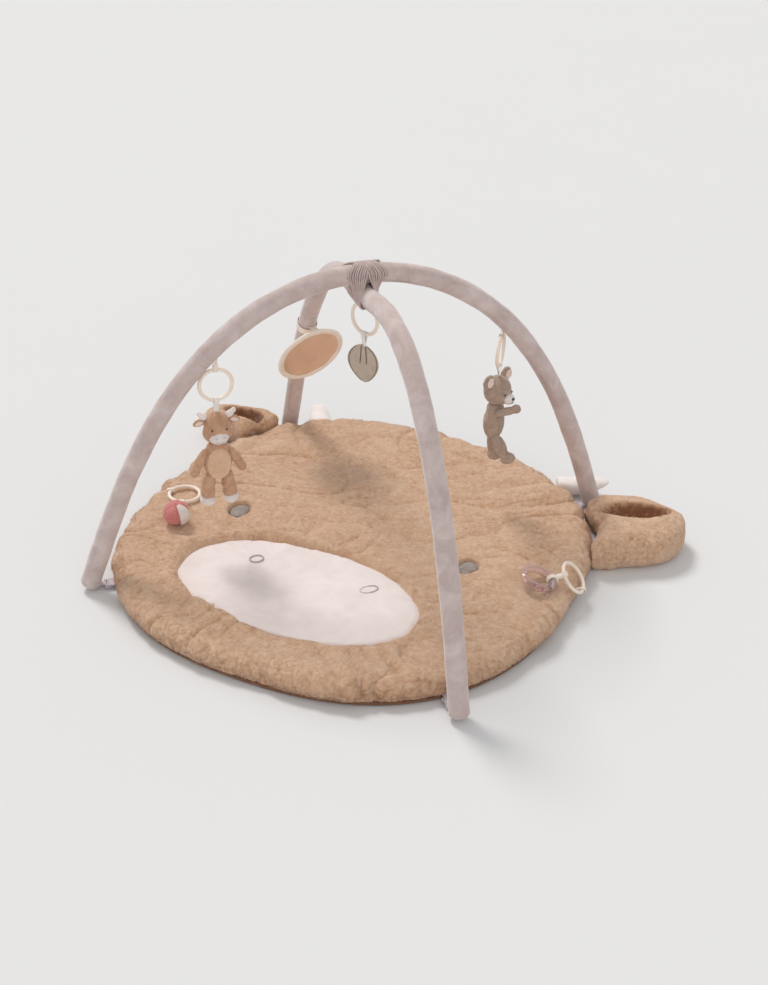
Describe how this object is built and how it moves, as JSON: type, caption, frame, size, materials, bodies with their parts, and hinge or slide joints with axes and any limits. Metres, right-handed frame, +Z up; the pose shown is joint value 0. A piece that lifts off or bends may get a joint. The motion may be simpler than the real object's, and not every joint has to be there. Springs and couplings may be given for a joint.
{
  "type": "activity play gym",
  "caption": "Padded animal-head play mat with ears and horns under two crossed padded arches that carry hanging soft toys, a leaf teether and a mirror.",
  "frame": {"origin": "on the floor under the centre of the mat", "axes": "+Z up, +Y from the animal's chin to its horns, +X to its right ear side as seen from the chin"},
  "size_m": [0.9831, 0.8409, 0.5445],
  "materials": {
    "base_cloth": "brown woven cotton, matt",
    "padding": "white polyester fibre filling",
    "camel_plush": "short curly camel-brown plush",
    "muzzle_plush": "pale pink-white velour with a stitched edge",
    "eye_felt": "grey-brown felt",
    "horn_velour": "pale pink-white velour",
    "arch_velvet": "crushed taupe-pink velvet",
    "foam": "closed-cell polyethylene foam tube",
    "rod": "glass-fibre rod",
    "webbing": "lilac-grey woven tape",
    "buckle_plastic": "lilac moulded plastic",
    "cream_plastic": "cream moulded plastic ring",
    "white_tape": "white woven tape",
    "cream_fabric": "cream cotton",
    "calf_velour": "brown velour",
    "bear_velour": "grey-brown velour",
    "leaf_cloth": "grey-olive cloth with stitched veins",
    "mirror_foil": "flexible plastic mirror",
    "rose_rib": "rose ribbed velour",
    "clear_plastic": "clear pink-tinted plastic, polished",
    "bead_pink": "pink beads",
    "bead_cream": "cream beads"
  },
  "bodies": {
    "mat": {"mat_base_cloth": "base_cloth", "mat_padding": "padding", "mat_cover": "camel_plush", "muzzle_patch": "muzzle_plush", "eye_patch_left": "eye_felt", "eye_patch_right": "eye_felt", "mat_loop_left": "camel_plush", "mat_loop_right": "camel_plush", "buckle_plug_front_left": "buckle_plastic", "buckle_socket_front_left": "buckle_plastic", "mat_webbing_front_left": "webbing", "buckle_plug_back_right": "buckle_plastic", "buckle_socket_back_right": "buckle_plastic", "mat_webbing_back_right": "webbing", "buckle_plug_front_right": "buckle_plastic", "buckle_socket_front_right": "buckle_plastic", "mat_webbing_front_right": "webbing", "buckle_plug_back_left": "buckle_plastic", "buckle_socket_back_left": "buckle_plastic", "mat_webbing_back_left": "webbing"},
    "arches": {"arch_a_sleeve": "arch_velvet", "arch_a_foam": "foam", "arch_a_rod": "rod", "arch_b_sleeve": "arch_velvet", "arch_b_foam": "foam", "arch_b_rod": "rod", "crown_lashing": "arch_velvet", "toy_loop_calf": "cream_fabric", "toy_loop_bear": "cream_fabric", "toy_loop_leaf": "cream_fabric", "arch_webbing_front_left": "webbing", "arch_webbing_back_right": "webbing", "arch_webbing_front_right": "webbing", "arch_webbing_back_left": "webbing"},
    "ear_left": {"ear_left": "camel_plush"},
    "ear_right": {"ear_right": "camel_plush"},
    "horn_left": {"horn_left": "horn_velour"},
    "horn_right": {"horn_right": "horn_velour"},
    "calf_ring": {"calf_ring": "cream_plastic"},
    "calf": {"calf_strap": "white_tape", "calf_head": "calf_velour", "calf_body": "calf_velour"},
    "bear_ring": {"bear_ring": "cream_plastic"},
    "bear": {"bear_strap": "white_tape", "bear_head": "bear_velour", "bear_body": "bear_velour"},
    "leaf_ring": {"leaf_ring": "cream_plastic"},
    "leaf": {"leaf_strap": "white_tape", "leaf_teether": "leaf_cloth"},
    "mirror_band": {"mirror_strap": "cream_fabric"},
    "mirror": {"mirror_cushion": "cream_fabric", "mirror_foil": "mirror_foil"},
    "ball_ring": {"ball_ring": "cream_plastic"},
    "ball": {"ball_strap": "white_tape", "plush_ball": "rose_rib"},
    "rattle_ring": {"rattle_ring": "cream_plastic"},
    "rattle": {"rattle_knot": "cream_fabric", "bead_rattle": "clear_plastic"},
    "bead_pink": {"bead_pink": "bead_pink"},
    "bead_cream": {"bead_cream": "bead_cream"}
  },
  "joints": [
    {"name": "arches_lift", "type": "slide", "parent": "mat", "child": "arches", "axis": [0, 0, 1], "range_m": [0, 0.3], "deforming": ["arch_webbing_front_left", "arch_webbing_back_right", "arch_webbing_front_right", "arch_webbing_back_left"]},
    {"name": "ear_left_fold", "type": "hinge", "parent": "mat", "child": "ear_left", "pos_m": [-0.344, 0.262, 0.052], "axis": [0.537, 0.8436, 0], "range_deg": [0, 70]},
    {"name": "ear_right_fold", "type": "hinge", "parent": "mat", "child": "ear_right", "pos_m": [0.354, 0.222, 0.052], "axis": [0.3945, -0.9189, 0], "range_deg": [0, 70]},
    {"name": "horn_left_fold", "type": "hinge", "parent": "mat", "child": "horn_left", "pos_m": [-0.262, 0.36, 0.037], "axis": [0.848, 0.5299, 0], "range_deg": [0, 60]},
    {"name": "horn_right_fold", "type": "hinge", "parent": "mat", "child": "horn_right", "pos_m": [0.239, 0.374, 0.037], "axis": [0.4067, -0.9136, 0], "range_deg": [0, 60]},
    {"name": "calf_ring_swing", "type": "hinge", "parent": "arches", "child": "calf_ring", "pos_m": [-0.19097, -0.15202, 0.38429], "axis": [0.7009, 0.7133, 0], "range_deg": [-30, 30]},
    {"name": "calf_slide_round_ring", "type": "hinge", "parent": "calf_ring", "child": "calf", "pos_m": [-0.19097, -0.15202, 0.35679], "axis": [0.7133, -0.7009, 0], "range_deg": [-25, 25]},
    {"name": "bear_ring_swing", "type": "hinge", "parent": "arches", "child": "bear_ring", "pos_m": [0.16349, 0.20868, 0.37959], "axis": [-0.1736, 0.9848, 0], "range_deg": [-25, 25]},
    {"name": "bear_slide_round_ring", "type": "hinge", "parent": "bear_ring", "child": "bear", "pos_m": [0.16349, 0.20868, 0.35209], "axis": [0.9848, 0.1736, 0], "range_deg": [-20, 20]},
    {"name": "leaf_ring_swing", "type": "hinge", "parent": "arches", "child": "leaf_ring", "pos_m": [-0.01783, 0.04023, 0.4651], "axis": [0.9659, -0.2588, 0], "range_deg": [-30, 30]},
    {"name": "leaf_slide_round_ring", "type": "hinge", "parent": "leaf_ring", "child": "leaf", "pos_m": [-0.01783, 0.04023, 0.4376], "axis": [0.2588, 0.9659, 0], "range_deg": [-25, 25]},
    {"name": "mirror_band_turn", "type": "hinge", "parent": "arches", "child": "mirror_band", "pos_m": [-0.24364, 0.26007, 0.288], "axis": [-0.3526, 0.3588, -0.8643], "range_deg": [-20, 20]},
    {"name": "mirror_swing", "type": "hinge", "parent": "mirror_band", "child": "mirror", "pos_m": [-0.2312, 0.2474, 0.2777], "axis": [0.5225, 0.8526, 0], "range_deg": [-30, 0]},
    {"name": "ball_ring_flip", "type": "hinge", "parent": "mat", "child": "ball_ring", "pos_m": [-0.3565, -0.046, 0.0523], "axis": [0, -1, 0], "range_deg": [0, 110]},
    {"name": "ball_lift", "type": "hinge", "parent": "ball_ring", "child": "ball", "pos_m": [-0.31817, -0.07128, 0.0523], "axis": [-0.9191, -0.3939, 0], "range_deg": [0, 60]},
    {"name": "rattle_ring_flip", "type": "hinge", "parent": "mat", "child": "rattle_ring", "pos_m": [0.4052, 0.0476, 0.0276], "axis": [-0.1392, 0.9903, 0], "range_deg": [0, 80]},
    {"name": "rattle_lift", "type": "hinge", "parent": "rattle_ring", "child": "rattle", "pos_m": [0.37822, 0.02249, 0.06114], "axis": [-0.5588, 0.8293, 0], "range_deg": [0, 60]},
    {"name": "bead_pink_roll", "type": "hinge", "parent": "rattle", "child": "bead_pink", "pos_m": [0.341, -0.005, 0.061], "axis": [0.2301, 0.0748, 0.9703], "range_deg": [-100, 14]},
    {"name": "bead_cream_roll", "type": "hinge", "parent": "rattle", "child": "bead_cream", "pos_m": [0.341, -0.005, 0.061], "axis": [0.2301, 0.0748, 0.9703], "range_deg": [-14, 100]}
  ]
}
